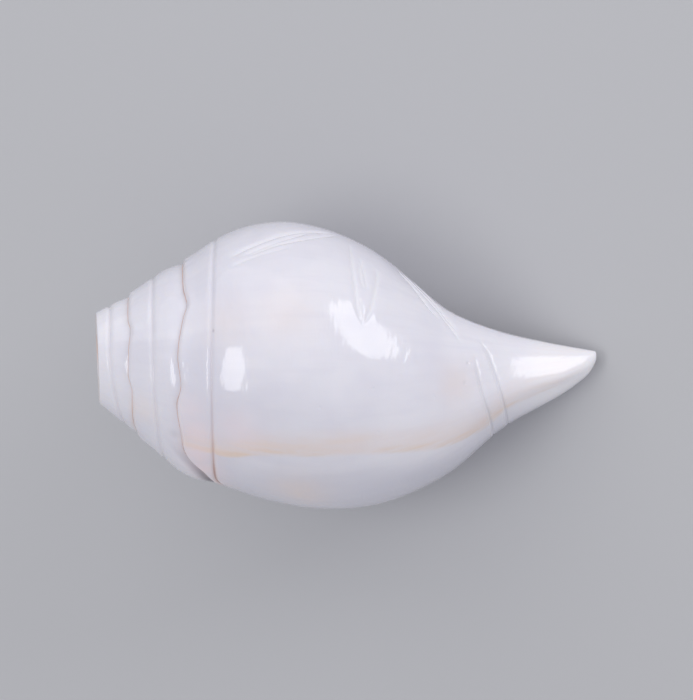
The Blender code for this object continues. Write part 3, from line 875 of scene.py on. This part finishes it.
def polished_material():
    """White shell, ground and polished, with its stains and growth lines, and light and shade painted into
    its colour in places.
    """
    tints = bpy.context.scene.chank_tints
    material, wire, shader = new_material("polished_shell")
    soft = wire.cloud(26)
    fine = wire.cloud(140, 4, 0.6)
    ribs = wire.grain(60, 5, 4, 0.6)
    hairs = wire.grain(420, 9, 2)
    threads = wire.grain(50, 85, 1, 0.6)
    streaks = 0.55 + 0.8 * ribs.fade(0.38, 0.66) * soft.fade(0.25, 0.75)
    along = wire.mark("along")
    rest = wire.mark("rest")
    band = wire.mark("band")
    seam = wire.mark("seam") + (fine - 0.5) * 0.9
    seam_brown = wire.mark("seam_stain")
    cut = wire.mark("groove") + (fine - 0.5) * 0.5
    cut_brown = wire.mark("groove_stain")
    carved = wire.mark("carved")
    rings = carved * along.fade(110, 113)
    colour = wire.washed(
        tints.body,
        (soft.fade(0.36, 0.66) * 0.75, tints.shade),
        (ribs.fade(0.42, 0.7) * 0.22, tints.shade),
        # painted light: the canal and the first whorls are lightened in place of light
        (along.fade(116, 138) * 0.8 + along.fade(14, 1) * 0.4, tints.bright),
        # where growth rested: the band before it and its edge, and past it a painted shade that darkens the
        # later growth, fading out further on
        (rest.fade(-12.5, -2.6) * rest.fade(-0.1, -2.2) * band * streaks, tints.cream),
        (rest.fade(-4.2, -2.2) * rest.fade(-0.2, -1.8) * band * ribs.fade(0.42, 0.62) * 0.45, tints.amber),
        (rest.fade(1, 12) * rest.fade(40, 22) * 0.7, tints.painted_shade_past_growth),
        # patches of colour, and painted shade in the crevice beside the last suture and in small dents
        (wire.mark("warm") * (0.5 + fine), tints.cream),
        (wire.mark("blush"), tints.blush),
        (wire.mark("painted_recess_shade"), tints.painted_recess_shade),
        # stains, pits and carving; the carved strokes are lightened, in part as a painted highlight, and
        # the rings round the canal are darkened as painted shade
        (seam.fade(1.8, 0) * seam_brown * 0.3, tints.amber),
        (seam.fade(0.45, 0.1) * seam_brown * 0.3, tints.stain),
        (cut.fade(1.4, 0.2) * cut_brown * 0.3, tints.amber),
        (cut.fade(0.5, 0.15) * cut_brown * 0.9, tints.stain),
        (wire.mark("pit"), tints.pit),
        (carved * 0.5, tints.carved),
        (rings * 0.13, tints.painted_recess_shade))
    roughness = 0.04 + 0.07 * fine + 0.1 * carved + 0.5 * rings + 0.06 * along.fade(116, 126)
    height = ribs * 0.35 + hairs * 0.1 + fine * 0.1 + threads * 1.4
    finish_material(wire, shader, colour, roughness, height, 0.045)
    let_light_in(shader, 1.55, (1, 0.85, 0.7))
    return material


def glaze_material():
    """The porcelain of the mouth and the inside, warmer further in."""
    tints = bpy.context.scene.chank_tints
    material, wire, shader = new_material("mouth_glaze")
    soft = wire.cloud(45)
    fine = wire.cloud(300)
    ribs = wire.grain(40, 4, 3)
    colour = wire.washed(
        tints.body,
        (soft.fade(0.35, 0.65) * 0.6, tints.shade),
        (wire.mark("inward").fade(0.02, 0.45) * (0.55 + 0.5 * soft), tints.glaze),
        (ribs.fade(0.5, 0.75) * 0.3, tints.cream))
    finish_material(wire, shader, colour, 0.16 + 0.12 * fine, ribs * 0.5 + fine * 0.2, 0.05)
    let_light_in(shader, 1.6, (1, 0.8, 0.6))
    return material


def sawn_material():
    """The sawn and rubbed face at the top, with the shell's layers showing as rings."""
    tints = bpy.context.scene.chank_tints
    material, wire, shader = new_material("sawn_layers")
    soft = wire.cloud(120)
    fine = wire.cloud(1500)
    rim = wire.mark("rim") + (soft - 0.5) * 1.2
    layers = wire.noise(wire.node("CombineXYZ", {"X": rim * 1.6}), 1, 3)
    colour = wire.washed(
        tints.sawn,
        (layers.fade(0.4, 0.62) * 0.7, tints.shade),
        (rim.fade(0.45, 0.75) * rim.fade(1.3, 0.9) * 0.55, tints.stain),
        (rim.fade(3.4, 4.4) * rim.fade(6, 5) * 0.2, tints.amber))
    finish_material(wire, shader, colour, 0.34 + 0.2 * fine, fine + layers, 0.03)
    return material


def length(name, description, default, low, high):
    """A size in metres."""
    return bpy.props.FloatProperty(name=name, description=description, default=default, min=low, max=high,
                                   unit="LENGTH")


def brightness(name, description, default):
    """How bright a light is."""
    return bpy.props.FloatProperty(name=name, description=description, default=default, min=0, max=20)


def screen_tint(name, description, screen):
    """A colour from red, green and blue as a screen shows them, 0 to 255."""
    channels = np.array(screen) / 255
    linear = np.where(channels <= 0.04045, channels / 12.92, ((channels + 0.055) / 1.055)**2.4)
    return bpy.props.FloatVectorProperty(name=name, description=description, subtype="COLOR", size=3,
                                         min=0, max=1, default=tuple(linear.tolist()))


def floor_material(tint):
    """A plain pale surface."""
    material, wire, shader = new_material("floor")
    shader.inputs["Roughness"].default_value = 0.8
    colour = wire.washed(tint, (wire.cloud(3, 2), [0.97 * value for value in tint]))
    wire.tree.links.new(colour.socket, shader.inputs["Base Color"])
    return material


def soften_lip(shell, on_skin):
    """Eases the edges that the hollow left round the mouth."""
    along, distance, angle = polar(read_points(shell))
    beyond = (angle - LIP_ANGLE + 180) % 360 - 180
    at_lip = (np.abs(beyond) * math.tau / 360 * distance < SOFTENED_LIP) & (along > LIP_CORNER + 3)
    edit_chosen(shell, "vertices", at_lip & ~on_skin)
    bpy.ops.mesh.vertices_smooth(factor=0.5, repeat=2)
    close_edit()


def rest_matrix():
    """Takes the shell from its own frame to where it lies, on the floor."""
    turned = Euler((math.radians(REST_ROLL), 0, 0)).to_matrix()
    turned = turned @ Euler((0, math.radians(REST_PITCH), 0)).to_matrix()
    out = Vector((0, 0, RING_RADIUS)) * MM
    on_face = SAW_CENTRE + out - SAW_NORMAL * SAW_NORMAL.dot(out)
    mount = Vector(frame["record"]["mounts"][0]["pos_m"])
    return Matrix.Translation(mount - turned @ on_face) @ turned.to_4x4()


def lay_down(shell):
    """Turns the shell to where it lies, and rubs it flat where it touches the floor."""
    shell.matrix_world = rest_matrix()
    pick(shell)
    bpy.ops.object.transform_apply(location=True, rotation=True, scale=True)
    points = read_points(shell)
    points[:, 2] = np.maximum(points[:, 2], FLOOR_GAP * MM)
    write_points(shell, points)


def lamp(name, brightness):
    """A soft flat lamp that faces the shell."""
    shape, way, width, height, roll = LAMPS[name]
    way = Vector(way).normalized()
    side = Vector((0, 1, 0)).cross(way).normalized()
    facing = Matrix((side, way.cross(side), way)).transposed().to_4x4()
    stand = Matrix.Translation(Vector(VIEW_CENTRE) * MM + way * LAMP_REACH)
    bpy.ops.object.light_add(type="AREA")
    light = bpy.context.object
    light.name = name
    light.data.shape = shape
    light.data.size, light.data.size_y = 2 * LAMP_REACH * np.tan(np.radians((width, height)) / 2)
    light.data.energy = brightness * math.pi * light.data.size * light.data.size_y
    light.matrix_world = rest_matrix() @ stand @ facing @ Matrix.Rotation(math.radians(roll), 4, "Z")


class ChankSizes(bpy.types.PropertyGroup):
    """Sizes of the shell's detail."""

    edge_rise: length("Whorl edge", "How far a whorl's upper edge stands proud", 0.0003, 0, 0.002)
    crevice: length("Crevice", "How deep the surface dips at a suture", 0.00075, 0, 0.002)
    groove_width: length("Shoulder groove", "Width of the groove round the shoulder", 0.0013, 0.0002, 0.004)
    groove_depth: length("Groove depth", "Depth of the groove round the shoulder", 0.00055, 0, 0.002)
    lip_rounding: length("Lip rounding", "Radius of the outer lip's edge", 0.0015, 0, 0.003)
    lip_wall: length("Lip wall", "Thickness of the shell at its widest", 0.0036, 0.001, 0.006)
    canal_wall: length("Canal wall", "Thickness of the shell at the canal", 0.0016, 0.0008, 0.004)
    fold_height: length("Folds", "Height of the folds inside the mouth", 0.0016, 0, 0.003)
    carving: bpy.props.FloatProperty(
        name="Carving", description="Depth of the carved strokes as a share of the usual", default=1,
        min=0, max=1.5, subtype="FACTOR")


class ChankTints(bpy.types.PropertyGroup):
    """Colours of the shell."""

    body: screen_tint("Body", "Polished white shell", (238, 236, 245))
    shade: screen_tint("Cloud", "Cooler clouds in the white", (222, 220, 233))
    # painted light: lightens the canal and the first whorls in place of light
    bright: screen_tint("Ends", "Whiter shell of the canal and the first whorls", (250, 248, 254))
    # painted shade past the growth line, darker and bluer in place of the light falling off there
    painted_shade_past_growth: screen_tint("Later growth", "Bluish white past the growth line", (220, 219, 231))
    cream: screen_tint("Cream", "Warm band before the growth line", (238, 224, 221))
    amber: screen_tint("Amber", "Edge of the warm band", (236, 212, 192))
    stain: screen_tint("Stain", "Brown left in sutures and grooves", (196, 158, 150))
    blush: screen_tint("Blush", "Pinkish patch on the shoulder", (255, 232, 236))
    # painted shade for the crevice beside the last suture, small dents and the carved rings
    painted_recess_shade: screen_tint("Dusk", "Greyer patch beside the suture", (98, 90, 104))
    pit: screen_tint("Pit", "Dark fleck in a small pit", (120, 92, 104))
    # lighter ground shell of the strokes, and in part a painted highlight on them
    carved: screen_tint("Carved", "Ground white of the carved strokes", (247, 246, 252))
    glaze: screen_tint("Glaze", "Deep in the mouth", (226, 178, 150))
    sawn: screen_tint("Sawn face", "Rubbed shell at the sawn top", (222, 217, 214))


class ChankStage(bpy.types.PropertyGroup):
    """Floor, lights and camera."""

    floor: screen_tint("Floor", "Plain pale floor", (196, 196, 200))
    room: brightness("Room", "Brightness of the light from all around", 0.62)
    main_lamp: brightness("Main lamp", "Brightness of the lamp on the right", 2.5)
    side_lamp: brightness("Side lamp", "Brightness of the lamp on the left", 2.8)
    top_lamp: brightness("Top lamp", "Brightness of the broad lamp above", 0.48)
    distance: length("Camera distance", "Camera to shell", 4, 0.3, 20)


class CHANK_OT_shell(bpy.types.Operator):
    """Winds, hollows, bores, carves and polishes the shell and lays it down"""

    bl_idname = "chank.shell"
    bl_label = "Chank Shell"

    def execute(self, context):
        shell = filled_shell()
        shell.name = shell.data.name = "polished_shell"
        cut_away(shell, hollow_cutter())
        cut_away(shell, bore_cutter())
        cut_away(shell, easing_cutter())
        refine_near_strokes(shell)
        along, turn, on_skin, deep = carve(shell)
        soften_lip(shell, on_skin)
        mark_shell(shell, along, turn, on_skin, deep)
        lay_out(shell, turn)
        share_out(shell, on_skin)
        bpy.ops.object.shade_smooth_by_angle(angle=math.radians(42))
        lay_down(shell)
        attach(shell, "root")
        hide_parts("shell")
        return {"FINISHED"}


class CHANK_OT_stage(bpy.types.Operator):
    """Adds the floor, the studio lights and the camera"""

    bl_idname = "chank.stage"
    bl_label = "Chank Stage"

    def execute(self, context):
        stage = context.scene.chank_stage
        bpy.ops.mesh.primitive_plane_add(size=4, location=(0, 0, 0))
        floor = context.object
        floor.name = "floor"
        floor.data.materials.append(floor_material(stage.floor))
        for name in LAMPS:
            lamp(name, getattr(stage, name))

        world = bpy.data.worlds.new("room")
        world.use_nodes = True
        background = world.node_tree.nodes["Background"]
        background.inputs["Color"].default_value = (0.96, 0.97, 1, 1)
        background.inputs["Strength"].default_value = stage.room
        context.scene.world = world
        context.scene.view_settings.view_transform = "Standard"

        centre = Vector(VIEW_CENTRE) * MM
        bpy.ops.object.camera_add()
        camera = context.object
        camera.name = "camera"
        camera.matrix_world = rest_matrix() @ Matrix.Translation(centre + Vector((0, 0, stage.distance)))
        camera.data.sensor_fit = "HORIZONTAL"
        camera.data.sensor_width = SENSOR
        camera.data.lens = SENSOR * stage.distance / (VIEW_WIDTH * MM)
        camera.data.clip_end = 20
        context.scene.camera = camera
        return {"FINISHED"}


class CHANK_PT_panel(bpy.types.Panel):
    """Sizes, colours and the two steps"""

    bl_label = "Chank Shell"
    bl_idname = "CHANK_PT_panel"
    bl_space_type = "VIEW_3D"
    bl_region_type = "UI"
    bl_category = "Chank"

    def draw(self, context):
        for title, group, step in (("Shell", context.scene.chank_sizes, "chank.shell"),
                                   ("Colours", context.scene.chank_tints, None),
                                   ("Stage", context.scene.chank_stage, "chank.stage")):
            box = self.layout.box()
            box.label(text=title)
            for name in group.__annotations__:
                box.prop(group, name)
            if step:
                box.operator(step)


GROUPS = {"chank_sizes": ChankSizes, "chank_tints": ChankTints, "chank_stage": ChankStage}
CLASSES = [*GROUPS.values(), CHANK_OT_shell, CHANK_OT_stage, CHANK_PT_panel]


def register():
    for kind in CLASSES:
        bpy.utils.register_class(kind)
    for name, kind in GROUPS.items():
        setattr(bpy.types.Scene, name, bpy.props.PointerProperty(type=kind))


def unregister():
    for name in GROUPS:
        delattr(bpy.types.Scene, name)
    for kind in reversed(CLASSES):
        bpy.utils.unregister_class(kind)


def main():
    register()
    bpy.ops.chank.shell()
    bpy.ops.chank.stage()


if __name__ == "__main__":
    main()
